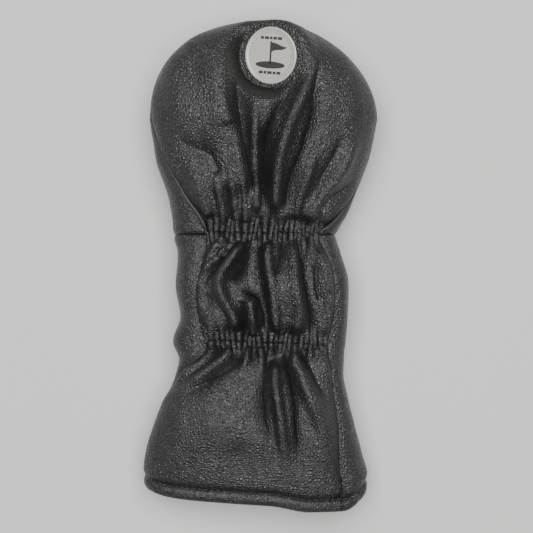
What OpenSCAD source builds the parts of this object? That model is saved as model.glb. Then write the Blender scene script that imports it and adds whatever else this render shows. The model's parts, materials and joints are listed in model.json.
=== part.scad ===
// Driver head cover, lying on its front with the gathered back panel up.
// The mouth points along -Y and the dome along +Y. Millimetres.

/* [Overall] */
// Length from the mouth to the crown of the dome
cover_len = 318; // [300:2:340]
// Width of the head pocket
head_w = 152.5; // [144:0.5:160]
// Height of the head pocket as it lies
head_h = 76; // [70:1:84]
// Width of the neck at the upper gather
neck_w = 106; // [100:1:114]
// Width of the sleeve between the two gathers
sleeve_w = 116; // [110:1:122]
// Height of the neck and sleeve
neck_h = 57; // [52:1:62]
// Width of the mouth
mouth_w = 149; // [140:1:156]
// Height of the mouth
mouth_h = 52; // [46:1:58]

/* [Layers] */
// Thickness of the outer leather
leather_t = 1.2; // [0.9:0.1:1.6]
// Thickness of the foam behind the front panels
foam_t = 1.5; // [1:0.5:2]
// Thickness of the plush lining
pile_t = 3.4; // [2.6:0.2:4.2]
// Clearance between stacked layers
layer_gap = 0.15; // [0.1:0.05:0.3]

/* [Gathers] */
// Width of each elastic band
elastic_w = 10; // [8:1:14]
// Thickness of each elastic band
elastic_t = 0.9; // [0.6:0.1:1.2]
// How far the gathers draw the back panel in
cinch_depth = 8; // [4:1:10]
// Reach of the gathers along the cover
cinch_reach = 13; // [10:1:16]

/* [Trim] */
// Diameter of the piping round the head
piping_d = 2.6; // [2:0.2:3.2]
// Height of the hem binding
hem_h = 7; // [5:0.5:9]
// Thickness of the hem binding
binding_t = 1; // [0.8:0.1:1.4]
// Thread diameter
thread_d = 0.6; // [0.4:0.1:0.8]
// Length of one stitch
stitch_l = 2.8; // [2:0.2:4]

/* [Magnet badge] */
// Diameter of the badge
badge_d = 37; // [32:1:40]
// Thickness of the badge
badge_t = 1.6; // [1.2:0.1:2]
// Height of the badge's raised rim
rim_h = 0.5; // [0.3:0.1:0.8]
// Tilt of the badge towards the left of the cover, in degrees
badge_lean = 26; // [16:1:30]
// Tilt of the badge towards the crown, in degrees, or towards the mouth below 0
badge_pitch = -7; // [-10:1:12]
// Diameter of the magnet
magnet_d = 25; // [20:1:27]
// Thickness of the magnet
magnet_t = 2; // [1.5:0.5:2.5]
// Thickness of the steel plate behind the magnet
plate_t = 0.6; // [0.5:0.1:0.8]

/* [Hidden] */

leather_colour = "#262423";
trim_colour = "#1c1b1b";
lining_colour = "#2e2e31";
thread_colour = "#141414";

// ---- outline ----
// The length runs from the mouth at mouth_y to the crown. Each row of stations holds
// [y, left half-width, right half-width, height of the top, height of the underside,
//  angle of the right seam, angle of the left seam]. Angles run from the right side, 0,
// over the top, 90, to the left side, 180.
dome_l = 0.206 * cover_len;
mouth_y = -0.49 * cover_len;
crown_y = mouth_y + cover_len;
head_y = crown_y - dome_l;
lower_gather_y = mouth_y + 0.32 * cover_len;
upper_gather_y = mouth_y + 0.551 * cover_len;
lean_x = 2.2;              // sideways offset of the whole section
floor_dip = 3;             // how far the head's underside is pressed flat
binding_clear = binding_t + 4 * layer_gap;

stations = [
    [mouth_y, 0.533 * mouth_w, 0.467 * mouth_w, mouth_h, binding_clear, 47, 184],
    [mouth_y + 0.072 * cover_len, 0.528 * mouth_w, 0.458 * mouth_w, mouth_h + 4, 0.6, 45, 184],
    [mouth_y + 0.149 * cover_len, 0.488 * mouth_w, 0.412 * mouth_w, mouth_h + 8, 2, 40, 182],
    [mouth_y + 0.236 * cover_len, 0.415 * mouth_w, 0.378 * mouth_w, mouth_h + 8, 5, 38, 170],
    [lower_gather_y, 0.475 * sleeve_w, 0.474 * sleeve_w, neck_h, 8, 38, 128],
    [mouth_y + 0.439 * cover_len, 0.502 * sleeve_w, 0.498 * sleeve_w, neck_h + 2, 8, 37, 136],
    [upper_gather_y, 0.54 * neck_w, 0.462 * neck_w, neck_h + 1, 7, 38, 125],
    [mouth_y + 0.642 * cover_len, 0.424 * head_w, 0.408 * head_w, 0.88 * head_h, 3, 6, 143],
    [mouth_y + 0.716 * cover_len, 0.475 * head_w, 0.462 * head_w, 0.97 * head_h, -floor_dip, -4, 158],
    [head_y, 0.495 * head_w, 0.49 * head_w, head_h, -floor_dip, -6, 178]
];
last = len(stations) - 1;
v_lower = 4;               // station of the lower gather
v_upper = 6;               // station of the upper gather
v_crown = last + 0.9966;   // where the panels end, just short of the dome's tip
section_power = 0.85;      // below 1 makes the section fuller than an ellipse
mid_share = 0.42;          // height of the widest line as a share of the section
dome_left = 2.5;           // fullness of the dome's left half seen from above
dome_right = 2.25;         // the same for its right half
dome_side = 3.8;           // fullness of the dome seen from the side

// The mouth's edge isn't in one plane: it sways round the opening.
sway = [-2, 2.5, 3.75, -3.6];
sway_reach = 3;            // stations over which the sway fades out

// The valley beside the badge, down the left of centre
valley_x = -15;
valley_depth = 7;
valley_left = 15;
valley_right = 40;
valley_low_y = upper_gather_y + 12;
valley_fade = 45;

back_start = leather_t + layer_gap;
back_lining_d = back_start + elastic_t + layer_gap;
front_lining_d = back_start + foam_t + layer_gap;

function clamp01(t) = max(0, min(1, t));
function ease(t) = let (c = clamp01(t)) c * c * (3 - 2 * c);
function bell(t) = exp(-t * t);
function mix(a, b, t) = a + (b - a) * t;

// A station's value, carried past both ends of the list
function station(i, k) =
    i < 0 ? 2 * stations[0][k] - stations[1][k]
    : i <= last ? stations[i][k]
    : k == 0 ? 2 * stations[last][0] - stations[last - 1][0]
    : stations[last - 1][k];

// Smooth curve through column k at position v along the stations
function along(k, v) =
    let (i = min(floor(v), last - 1), t = v - i,
         a = station(i - 1, k), b = station(i, k), c = station(i + 1, k), d = station(i + 2, k))
    b + 0.5 * t * (c - a + t * (2 * a - 5 * b + 4 * c - d + t * (3 * (b - c) + d - a)));

function dome_share(v) = v <= last ? 0 : sin(90 * (v - last));
function dome_scale(q, power) = pow(max(0, 1 - pow(q, power)), 1 / power);
function body_v(v) = min(v, last);
function right_seam(v) = mix(along(5, body_v(v)), 0, dome_share(v));
function left_seam(v) = mix(along(6, body_v(v)) + 6 * ease(2 * dome_share(v)), 180, pow(dome_share(v), 3));

// A point on the smooth outer form at angle a and position v
function form(a, v) =
    let (q = dome_share(v), b = body_v(v), c = cos(a), s = sin(a),
         plan = dome_scale(q, c >= 0 ? dome_right : dome_left), side = dome_scale(q, dome_side),
         top = along(3, b), under = along(4, b), mid = under + mid_share * (top - under),
         half = (c >= 0 ? along(2, b) : along(1, b)) * plan,
         x = sign(c) * half * pow(abs(c), section_power),
         rise = (s >= 0 ? top - mid : mid - under) * side,
         z = mid + sign(s) * rise * pow(abs(s), section_power),
         fade = ease(1 - v / sway_reach),
         shift = sway[0] * c + sway[1] * s + sway[2] * cos(2 * a) + sway[3] * sin(2 * a))
    [x + lean_x, along(0, b) + dome_l * q + fade * shift, max(z, 0)];

function unit(p) = p / norm(p);
function outward(a, v) =
    let (da = 0.6, dv = 0.012, w = min(v, v_crown - dv))
    unit(cross(form(a, w + dv) - form(a, max(0, w - dv)), form(a + da, w) - form(a - da, w)));

// ---- badge plane ----
badge_at = [7.3, head_y + 0.611 * dome_l];
badge_z = 0.855 * head_h;
badge_turn = [-badge_pitch, -badge_lean, 0];
badge_n = let (p = badge_pitch, l = badge_lean) [-sin(l) * cos(p), sin(p), cos(l) * cos(p)];
badge_flat = 25;           // radius pressed flat by the badge
badge_blend = 11;          // width over which the flat fades into the panel

// The gathers and the valley, as a distance off the smooth form
function relief(p, up) =
    let (cinch = -cinch_depth * (bell((p[1] - upper_gather_y) / cinch_reach)
                                 + bell((p[1] - lower_gather_y) / cinch_reach)),
         side = p[0] - valley_x,
         share = clamp01(1 - abs(side) / (side < 0 ? valley_left : valley_right)),
         run = ease((p[1] - valley_low_y) / valley_fade) * ease((crown_y - 4 - p[1]) / 40))
    up * (cinch - valley_depth * run * ease(share));

// Share of the way from the relief to the flat under the badge
function press(off, up, n) =
    up * ease((badge_flat + badge_blend - norm(off)) / badge_blend) * ease((n[2] - 0.15) / 0.25);

// A point d millimetres inside the outer skin
function skin(a, v, d) =
    let (p = form(a, v), n = outward(a, v), up = ease((sin(a) - 0.1) / 0.6),
         off = [p[0] - badge_at[0], p[1] - badge_at[1]], s = press(off, up, n),
         plane_z = badge_z - (badge_n[0] * off[0] + badge_n[1] * off[1]) / badge_n[2])
    mix(p + n * relief(p, up), [p[0], p[1], plane_z], s) - d * unit(mix(n, badge_n, s));

// ---- sheets ----
dome_rings = 11;
across = 20;

// Elastic half-width as a share of a station, so that every layer has a ring at its edges
function band_half(v) = elastic_w / norm(form(90, v + 0.5) - form(90, v - 0.5)) / 2;
function is_gather(i) = i == v_lower || i == v_upper;
function ring_shares(i) =
    is_gather(i) ? [0, band_half(i), 0.45, 0.72]
    : is_gather(i + 1) ? [0, 0.28, 0.55, 1 - band_half(i + 1)]
    : [0, 1 / 3, 2 / 3];
all_rings = concat([for (i = [0 : last - 1]) for (t = ring_shares(i)) i + t],
                   [for (k = [0 : dome_rings]) last + (v_crown - last) * k / dome_rings]);
function ring_list(v0, v1) =
    concat([v0], [for (v = all_rings) if (v > v0 + 0.04 && v < v1 - 0.04) v], [v1]);

// Angle that moves w millimetres round the section
function turn_by(a, v, w) = min(30, w / max(0.02, norm(form(a + 1, v) - form(a - 1, v)) / 2));

// Clearance from the seam line: room for the piping on the head
function seam_gap(v) = mix(layer_gap, piping_d / 2 + layer_gap, ease((v - v_upper + 0.1) * 5));

function edge_angles(back, v, gap) =
    let (r = right_seam(v), l = left_seam(v), w = gap + seam_gap(v))
    back ? [r + turn_by(r, v, w), l - turn_by(l, v, w)]
         : [l + turn_by(l, v, w), 360 + r - turn_by(r, v, w)];

// Angles across a sheet. Only the outer two move with the gap, so the layers stay parallel.
function sheet_angles(back, v, gap) =
    let (e = edge_angles(back, v, 0), g = edge_angles(back, v, gap))
    concat([g[0]], [for (j = [1 : across - 1]) mix(e[0], e[1], j / across)], [g[1]]);

// A closed sheet between depths d0 and d1, on the back or the front
module sheet(back, v0, v1, d0, d1, gap = 0) {
    rings = ring_list(v0, v1);
    nv = len(rings);
    row = across + 1;
    side = nv * row;
    points = [for (d = [d0, d1]) for (v = rings)
        for (a = sheet_angles(back, v, gap)) skin(a, v, d)];
    faces = [
        for (i = [0 : nv - 2]) for (j = [0 : across - 1])
            let (p = i * row + j, q = p + row)
            each [[p, p + 1, q], [p + 1, q + 1, q],
                  [side + p, side + q, side + p + 1], [side + p + 1, side + q, side + q + 1]],
        for (j = [0 : across - 1]) let (p = j, q = (nv - 1) * row + j)
            each [[p, side + p, p + 1], [p + 1, side + p, side + p + 1],
                  [q, q + 1, side + q], [q + 1, side + q + 1, side + q]],
        for (i = [0 : nv - 2]) let (p = i * row, q = p + across)
            each [[p, p + row, side + p], [p + row, side + p + row, side + p],
                  [q, side + q, q + row], [q + row, side + q, side + q + row]]
    ];
    polyhedron(points, faces, convexity = 10);
}

// ---- sweeps ----
// A closed tube of outline points round each point of a path; frames holds [side, up] pairs
module sweep(path, frames, outline) {
    n = len(path);
    m = len(outline);
    points = [for (i = [0 : n - 1]) for (o = outline)
        path[i] + o[0] * frames[i][0] + o[1] * frames[i][1]];
    faces = [
        for (i = [0 : n - 2]) for (j = [0 : m - 1])
            let (k = (j + 1) % m, p = i * m, q = p + m)
            each [[p + j, q + j, p + k], [p + k, q + j, q + k]],
        [for (j = [0 : m - 1]) j],
        [for (j = [m - 1 : -1 : 0]) (n - 1) * m + j]
    ];
    polyhedron(points, faces, convexity = 10);
}

function round_outline(r, sides) = [for (k = [0 : sides - 1]) r * [cos(360 * k / sides), sin(360 * k / sides)]];

// The seam round the head, from the right end of the upper gather over the crown to the left end
piping_steps = 26;
piping_rise = 0.35;
piping_from = v_upper + 0.12;
piping_vs = [for (k = [0 : piping_steps]) mix(piping_from, v_crown, sin(90 * k / piping_steps))];
piping_path = concat(
    [for (v = piping_vs) skin(right_seam(v), v, -piping_rise)],
    [for (k = [piping_steps : -1 : 0]) let (v = piping_vs[k]) skin(left_seam(v), v, -piping_rise)]
);
piping_normals = concat(
    [for (v = piping_vs) outward(right_seam(v), v)],
    [for (k = [piping_steps : -1 : 0]) let (v = piping_vs[k]) outward(left_seam(v), v)]
);

function path_frames(path, normals) = [for (i = [0 : len(path) - 1])
    let (t = unit(path[min(i + 1, len(path) - 1)] - path[max(i - 1, 0)]),
         s = unit(cross(normals[i], t)))
    [s, cross(t, s)]];

piping_frames = path_frames(piping_path, piping_normals);
piping_wall = 0.45;
cord_r = piping_d / 2 - piping_wall - layer_gap;

// The strip folded round the cord: a ring left open towards the seam
lip = 24;
lip_sides = 10;
function lip_angle(k) = mix(lip - 90, 270 - lip, k / lip_sides);
function lip_arc(r, from, step) = [for (k = [from : step : lip_sides - from])
    r * [cos(lip_angle(k)), sin(lip_angle(k))]];
piping_outline = concat(lip_arc(piping_d / 2, 0, 1), lip_arc(piping_d / 2 - piping_wall, lip_sides, -1));

// ---- hem ----
module hem_strip(back) {
    inner = (back ? back_lining_d : front_lining_d) + pile_t + layer_gap;
    t = binding_t;
    g = layer_gap;
    // [depth, distance up the cover] round the folded strip's section
    outline = [[-g, hem_h], [-g, -g], [inner, -g], [inner, hem_h], [inner + t, hem_h], [inner + t, -t / 2],
               [inner + t / 2, -g - t], [-g - t / 2, -g - t], [-g - t, -t / 2], [-g - t, hem_h]];
    angles = sheet_angles(back, 0, 0);
    frames = [for (a = angles) [-outward(a, 0), unit(form(a, all_rings[1]) - form(a, 0))]];
    color(leather_colour) sweep([for (a = angles) form(a, 0)], frames, outline);
}

// ---- thread ----
module rod(p, q, r) {
    d = q - p;
    translate(p) rotate([0, acos(d[2] / norm(d)), atan2(d[1], d[0])]) cylinder(h = norm(d), r = r, $fn = 16);
}

// Stitches along a path of points, laid end to end with a gap
module stitches(path, gap_share = 0.3) {
    for (i = [0 : len(path) - 2])
        color(thread_colour) rod(path[i], mix(path[i], path[i + 1], 1 - gap_share), thread_d / 2);
}

stitch_pitch = stitch_l / 0.7;
function spaced(from, to, length) =
    let (n = ceil(length / stitch_pitch)) [for (i = [0 : n]) mix(from, to, i / n)];
function arc_length(v, a0, a1, steps = 24) =
    let (p = [for (i = [0 : steps]) form(mix(a0, a1, i / steps), v)])
    len(p) < 2 ? 0 : [for (i = [0 : steps - 1]) norm(p[i + 1] - p[i])] * [for (i = [0 : steps - 1]) 1];

module cross_stitches(v, a0, a1, d) {
    stitches([for (a = spaced(a0, a1, arc_length(v, a0, a1))) skin(a, v, d)]);
}

module gather_thread(v) {
    e = edge_angles(true, v, 1);
    cross_stitches(v, e[0], e[1], -thread_d / 2 - layer_gap);
}

// Hidden seam stitches run in the channel that the foam and linings leave open
module seam_thread(left) {
    d = back_start + thread_d;
    run = 0.93 * cover_len;
    vs = [for (t = spaced(0.35, v_crown - 0.15, run)) t];
    stitches([for (v = vs) skin(left ? left_seam(v) : right_seam(v), v, d)]);
}

// ---- elastic ----
module elastic(v) {
    half = band_half(v);
    color("#33332f") sheet(true, v - half, v + half, back_start, back_start + elastic_t, 2);
}

// ---- badge and magnet ----
module on_badge() {
    translate([badge_at[0], badge_at[1], badge_z]) rotate(badge_turn) children();
}

badge_lift = 0.25;         // air between the badge and the leather
badge_face = badge_lift + badge_t - rim_h;
badge_r = badge_d / 2;
rim_w = 1.6;
emblem_t = 0.25;

module badge_patch() {
    color("#d9d5cc") on_badge() rotate_extrude($fn = 96) polygon([
        [0, badge_lift], [badge_r - 0.5, badge_lift], [badge_r, badge_lift + 0.5],
        [badge_r, badge_lift + badge_t - 0.4], [badge_r - 0.4, badge_lift + badge_t],
        [badge_r - rim_w, badge_lift + badge_t], [badge_r - rim_w - rim_h, badge_face], [0, badge_face]
    ]);
}

// A pin flag over a green, with a bar above and a bar below
module badge_emblem() {
    pole = 13;
    color("#2b2a29") on_badge() translate([0, 0, badge_face]) linear_extrude(emblem_t) rotate(-7) {
        translate([-0.5, -pole / 2 + 0.4]) square([1, pole]);
        polygon([[0.5, pole / 2 + 0.4], [7.5, pole / 2 - 2], [0.5, pole / 2 - 4.6]]);
        translate([0, -pole / 2]) scale([1, 0.28]) circle(r = 7, $fn = 48);
        for (y = [-11.2, 10.6]) translate([-5, y - 0.6]) square([10, 1.2]);
    }
}

module badge_thread() {
    count = 44;
    r = badge_r - rim_w - rim_h - 0.9;
    z = badge_face + thread_d / 2;
    color("#b9b6ae") on_badge() for (i = [0 : count - 1])
        rotate(i * 360 / count) translate([r, 0, z]) rotate([90, 0, 0])
            cylinder(h = 1.7, r = 0.25, center = true, $fn = 16);
}

magnet_top = -leather_t - 0.5;
pocket_wall = 0.4;
pocket_h = magnet_t + plate_t + 0.3;

module magnet() {
    color("#a9abad") on_badge() translate([0, 0, magnet_top - magnet_t]) cylinder(h = magnet_t, d = magnet_d, $fn = 96);
}

module magnet_plate() {
    color("#77797c") on_badge() translate([0, 0, magnet_top - magnet_t - plate_t - 0.05])
        cylinder(h = plate_t, d = magnet_d, $fn = 96);
}

// A round fabric cup that holds the magnet and plate, with a flange sewn to the panel
module magnet_pocket() {
    r = magnet_d / 2 + 0.2;
    z0 = magnet_top;
    z1 = magnet_top - pocket_h;
    w = pocket_wall;
    color("#202024") on_badge() rotate_extrude($fn = 96) polygon([
        [0, z1], [r, z1], [r, z0], [r + 4, z0], [r + 4, z0 - w], [r + w, z0 - w], [r + w, z1 - w], [0, z1 - w]
    ]);
}

// Room for the cup in the lining
module pocket_room() {
    depth = pocket_h + pocket_wall + layer_gap;
    on_badge() translate([0, 0, magnet_top - depth])
        cylinder(h = 2 * depth, r = magnet_d / 2 + pocket_wall + 0.5, $fn = 96);
}

// ---- label ----
label_w = 24;
label_l = 34;
label_t = 0.5;
label_v = 0.75;
label_at = skin(270, label_v, front_lining_d + pile_t) + [0, 0, 0.6];

module care_label() {
    color("#e4e2dc") translate(label_at - [label_w / 2, label_l / 2, 0]) cube([label_w, label_l, label_t]);
}

module care_label_thread() {
    count = 6;
    pitch = label_w / count;
    z = label_t + layer_gap + thread_d / 2;
    color(thread_colour) for (i = [0 : count - 1])
        translate(label_at + [-label_w / 2 + (i + 0.15) * pitch, label_l / 2 - 2, z])
            rotate([0, 90, 0]) cylinder(h = 0.7 * pitch, r = thread_d / 2, $fn = 16);
}

// ---- nodes ----
module back_panel() { color(leather_colour) sheet(true, 0, v_crown, 0, leather_t); }
module front_crown_panel() { color(leather_colour) sheet(false, v_upper + 0.02, v_crown, 0, leather_t); }
module front_neck_panel() { color(leather_colour) sheet(false, 0, v_upper, 0, leather_t); }
module piping_cover() { color(trim_colour) sweep(piping_path, piping_frames, piping_outline); }
module piping_cord() { color("#8c8a84") sweep(piping_path, piping_frames, round_outline(cord_r, 8)); }
module hem_binding_back() { hem_strip(true); }
module hem_binding_front() { hem_strip(false); }
module crown_foam() { color("#3d3d40") sheet(false, v_upper + 0.02, v_crown, back_start, back_start + foam_t, 1.5); }
module neck_foam() { color("#3d3d40") sheet(false, 0, v_upper, back_start, back_start + foam_t, 1.5); }
module back_lining() {
    color(lining_colour) difference() {
        sheet(true, 0, v_crown, back_lining_d, back_lining_d + pile_t, 1.5);
        pocket_room();
    }
}
module front_lining() {
    color(lining_colour) sheet(false, 0, v_crown, front_lining_d, front_lining_d + pile_t, 1.5);
}
module upper_elastic() { elastic(v_upper); }
module lower_elastic() { elastic(v_lower); }
module upper_gather_thread() { gather_thread(v_upper); }
module lower_gather_thread() { gather_thread(v_lower); }
module hem_thread() {
    v = 0.2;
    cross_stitches(v, right_seam(v) + 2, right_seam(v) + 358, -2 * layer_gap - binding_t - thread_d / 2);
}
module left_seam_thread() { seam_thread(true); }
module right_seam_thread() { seam_thread(false); }
module crown_seam_thread() {
    v = v_upper + 0.08;
    e = edge_angles(false, v, 3);
    cross_stitches(v, e[0], e[1], -thread_d / 2 - layer_gap);
}

back_panel();
front_crown_panel();
front_neck_panel();
piping_cover();
piping_cord();
hem_binding_back();
hem_binding_front();
crown_foam();
neck_foam();
back_lining();
front_lining();
upper_elastic();
lower_elastic();
badge_patch();
badge_emblem();
badge_thread();
magnet();
magnet_plate();
magnet_pocket();
upper_gather_thread();
lower_gather_thread();
hem_thread();
left_seam_thread();
right_seam_thread();
crown_seam_thread();
care_label();
care_label_thread();
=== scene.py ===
import json
import math

import bpy
import numpy as np
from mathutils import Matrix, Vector


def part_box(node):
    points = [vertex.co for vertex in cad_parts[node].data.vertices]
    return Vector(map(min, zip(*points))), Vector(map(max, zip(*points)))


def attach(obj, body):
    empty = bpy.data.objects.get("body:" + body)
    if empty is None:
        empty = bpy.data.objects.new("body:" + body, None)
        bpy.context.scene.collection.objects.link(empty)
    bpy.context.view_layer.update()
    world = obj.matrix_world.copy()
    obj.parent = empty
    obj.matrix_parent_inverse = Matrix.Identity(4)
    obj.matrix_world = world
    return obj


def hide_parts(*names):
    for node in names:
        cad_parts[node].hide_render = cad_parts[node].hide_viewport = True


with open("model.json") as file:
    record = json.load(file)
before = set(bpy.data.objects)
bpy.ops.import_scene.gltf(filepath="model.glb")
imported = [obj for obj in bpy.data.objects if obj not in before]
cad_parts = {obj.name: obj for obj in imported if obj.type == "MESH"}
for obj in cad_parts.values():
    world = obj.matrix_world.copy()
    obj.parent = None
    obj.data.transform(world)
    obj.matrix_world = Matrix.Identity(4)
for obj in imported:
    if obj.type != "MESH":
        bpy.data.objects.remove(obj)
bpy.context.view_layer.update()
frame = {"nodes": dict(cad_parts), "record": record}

MM = 0.001

# ---- where things are ----
# Shapes are drawn in millimetres. Fold lines, seams and outlines are given as they are seen from
# above on a plane halfway up the cover, with 0, 0 at the lens's aim. SHIFT takes them to the row frame.
SHIFT = np.array([1.0, -0.9])
LENS_AT = np.array([4.0, -0.9, 1100.0])
LENS_PLANE = 30.0
VIEW_WIDTH = 359.0  # what the lens takes in on that plane

MOUTH_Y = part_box("front_lining")[0][1] / MM + 6.6
CROWN_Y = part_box("back_panel")[1][1] / MM
DOME_L = 0.202 * (CROWN_Y - MOUTH_Y)
HEAD_Y = CROWN_Y - DOME_L - 1
MID_X = 2.2

UPPER_GATHER, LOWER_GATHER = 22.8, -51.5
ROW_UPPER = [(-40, 23.5), (-20, 23), (0, 22.5), (20, 23), (42, 22)]
ROW_LOWER = [(-40, -49.5), (-20, -50.5), (0, -51.5), (20, -52), (46, -53.5)]


# ---- curves ----
def smooth(points, x):
    """A smooth curve through (x, value) points that doesn't overshoot them, held level past its ends."""
    p = np.array(sorted(points), float)
    px, py = p[:, 0], p[:, 1]
    h = np.diff(px)
    d = np.diff(py) / h
    m = np.zeros(len(px))
    both = d[:-1] * d[1:] > 0
    m[1:-1][both] = 2 * (d[:-1] * d[1:])[both] / (d[:-1] + d[1:])[both]
    m[0], m[-1] = d[0], d[-1]
    x = np.clip(np.asarray(x, float), px[0], px[-1])
    i = np.clip(np.searchsorted(px, x) - 1, 0, len(h) - 1)
    t = (x - px[i]) / h[i]
    t2, t3 = t * t, t * t * t
    return (
        (2 * t3 - 3 * t2 + 1) * py[i]
        + (t3 - 2 * t2 + t) * h[i] * m[i]
        + (3 * t2 - 2 * t3) * py[i + 1]
        + (t3 - t2) * h[i] * m[i + 1]
    )


def ease(t):
    t = np.clip(t, 0, 1)
    return t * t * (3 - 2 * t)


def bell(t):
    return np.exp(-t * t)


def unit(v):
    return v / np.maximum(np.linalg.norm(v, axis=-1, keepdims=True), 1e-9)


def rounded_line(points, steps=6):
    """A smooth line through plan points."""
    p = np.array(points, float)
    run = np.r_[0, np.cumsum(np.linalg.norm(np.diff(p, axis=0), axis=1))]
    t = np.linspace(0, run[-1], steps * (len(p) - 1) + 1)
    return np.stack([smooth(list(zip(run, p[:, k])), t) for k in (0, 1)], 1)


# ---- the cover's form ----
# (y, left edge, right edge) of the outline, then (y, height) of the top and of the underside
OUTLINE = [
    (-156, -79, 70), (-143, -80, 71), (-128, -78, 67), (-110, -73, 62), (-90, -66, 58), (-71, -57, 55),
    (-62, -55, 55), (-50, -59, 56), (-34, -55, 57), (-12, -58, 58), (10, -56, 53), (20, -58, 49),
    (34, -60, 56), (50, -64, 63), (74, -71, 72), (98, -75, 77),
]
TOPS = [
    (-158, 50), (-130, 57), (-100, 61), (-75, 60), (-52, 56), (-35, 60), (-15, 63), (5, 61), (22, 58),
    (42, 64), (68, 72), (97, 75.5),
]
UNDERS = [
    (-158, 1.7), (-130, 0.8), (-108, 2), (-80, 5), (-52, 8), (-15, 8), (20, 7), (48, 3), (72, -3), (97, -3),
]
# (y, angle) of the side seams. Angles run from the right side, 0, over the top, 90, to the left side, 180.
SEAM_RIGHT = [
    (-156, 47), (-130, 44), (-100, 35), (-70, 34), (-52, 40), (-28, 35), (0, 37), (20, 41), (30, 28),
    (45, 12), (60, 2), (97, -6),
]
SEAM_LEFT = [
    (-156, 184), (-95, 180), (-80, 172), (-70, 160), (-53, 125), (-30, 138), (0, 131), (25, 125),
    (45, 139), (66, 152), (82, 162), (100, 170),
]
# (angle, y) of the mouth's edge, which isn't in one plane
MOUTH_EDGE = [
    (0, -152), (22, -157), (45, -163), (70, -163), (92, -158), (135, -154), (180, -149), (225, -157),
    (265, -160), (320, -160),
]
MOUTH_ROUND = [(a + turn, y) for turn in (-360, 0, 360) for a, y in MOUTH_EDGE]
SWAY_REACH = 95  # how far up the cover the mouth's sway is felt
SECTION_POWER = 0.75
MID_SHARE = 0.42
TRIM = 0.7  # how far the folds and the lens widen what is seen
DOME_LEFT, DOME_RIGHT, DOME_SIDE = 2.3, 1.9, 3.6


def dome_scale(q, power):
    return np.maximum(0, 1 - q**power) ** (1 / power)


def form(a, y, q):
    """Points of the smooth outer form at angle a, in degrees.

    y is the place along the body and q how far over the dome, from 0 to 1.
    """
    a, y, q = np.broadcast_arrays(np.asarray(a, float), y, q)
    c, s = np.cos(np.radians(a)), np.sin(np.radians(a))
    top, under = smooth(TOPS, y), smooth(UNDERS, y)
    lens_y = y - SHIFT[1]
    left = MID_X - SHIFT[0] - TRIM - smooth([r[:2] for r in OUTLINE], lens_y)
    right = smooth([(r[0], r[2]) for r in OUTLINE], lens_y) - MID_X + SHIFT[0] - TRIM
    half = np.where(c >= 0, right * dome_scale(q, DOME_RIGHT), left * dome_scale(q, DOME_LEFT))
    mid = under + MID_SHARE * (top - under)
    x = MID_X + np.sign(c) * half * np.abs(c) ** SECTION_POWER
    rise = np.where(s >= 0, top - mid, mid - under) * dome_scale(q, DOME_SIDE)
    z = mid + np.sign(s) * rise * np.abs(s) ** SECTION_POWER
    edge = smooth(MOUTH_ROUND, a) + SHIFT[1] - MOUTH_Y
    fade = ease(1 - (y - MOUTH_Y) / SWAY_REACH)
    return np.stack([x, y + DOME_L * q + fade * edge, np.maximum(z, 0)], -1)


def form_normals(angle, y, q):
    """Outward normals of the smooth form down a line, one angle for each row."""
    round_it = form(angle + 0.5, y, q) - form(angle - 0.5, y, q)
    return unit(np.cross(np.gradient(form(angle, y, q), axis=0), round_it))


def seams(y, q):
    """The angles of the right and left side seams."""
    lens_y = y - SHIFT[1]
    over = ease(2 * q)
    return smooth(SEAM_RIGHT, lens_y) * (1 - q), smooth(SEAM_LEFT, lens_y) * (1 - over) + 180 * over


# ---- rows along the cover ----
def stations(y_from, crown, spacing, fine=1.0):
    """(y, q) of rows about spacing apart, closer at the gathers by the factor fine."""
    ys = np.linspace(y_from, HEAD_Y, 2000)
    near = sum(bell((ys - SHIFT[1] - r) / 13) for r in (UPPER_GATHER, LOWER_GATHER))
    run = np.r_[0, np.cumsum(np.diff(ys) * (1 + (fine - 1) * near[1:]))]
    count = max(2, int(run[-1] / spacing))
    y = np.interp(np.linspace(0, run[-1], count), run, ys)
    if not crown:
        return y, np.zeros(len(y))
    turns = np.linspace(0, math.radians(89.85), int(1.5 * DOME_L / spacing))[1:]
    return np.r_[y, np.full(len(turns), HEAD_Y)], np.r_[np.zeros(len(y)), np.sin(turns)]


def across(y, q, start, end, columns, gap_mm=0.0):
    """Base points of each row from angle start to angle end, evenly spaced along the row."""
    t = np.linspace(0, 1, 360)
    points = np.zeros((len(y), columns, 3))
    for i in range(len(y)):
        line = form(start[i] + (end[i] - start[i]) * t, y[i], q[i])
        run = np.r_[0, np.cumsum(np.linalg.norm(np.diff(line, axis=0), axis=1))]
        gap = min(gap_mm, 0.3 * run[-1])
        at = np.linspace(gap, run[-1] - gap, columns)
        for k in range(3):
            points[i, :, k] = np.interp(at, run, line[:, k])
    return points


def normals_of(points):
    """Outward normals of a grid: rows along +Y, columns anticlockwise seen from the dome's end."""
    return unit(np.cross(np.gradient(points, axis=0), np.gradient(points, axis=1)))


def plan(points):
    """Where points are seen from above, in the units of the fold lines."""
    reach = (LENS_AT[2] - LENS_PLANE) / (LENS_AT[2] - points[..., 2])
    x = LENS_AT[0] + (points[..., 0] - LENS_AT[0]) * reach - SHIFT[0]
    y = LENS_AT[1] + (points[..., 1] - LENS_AT[1]) * reach - SHIFT[1]
    return x, y


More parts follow.
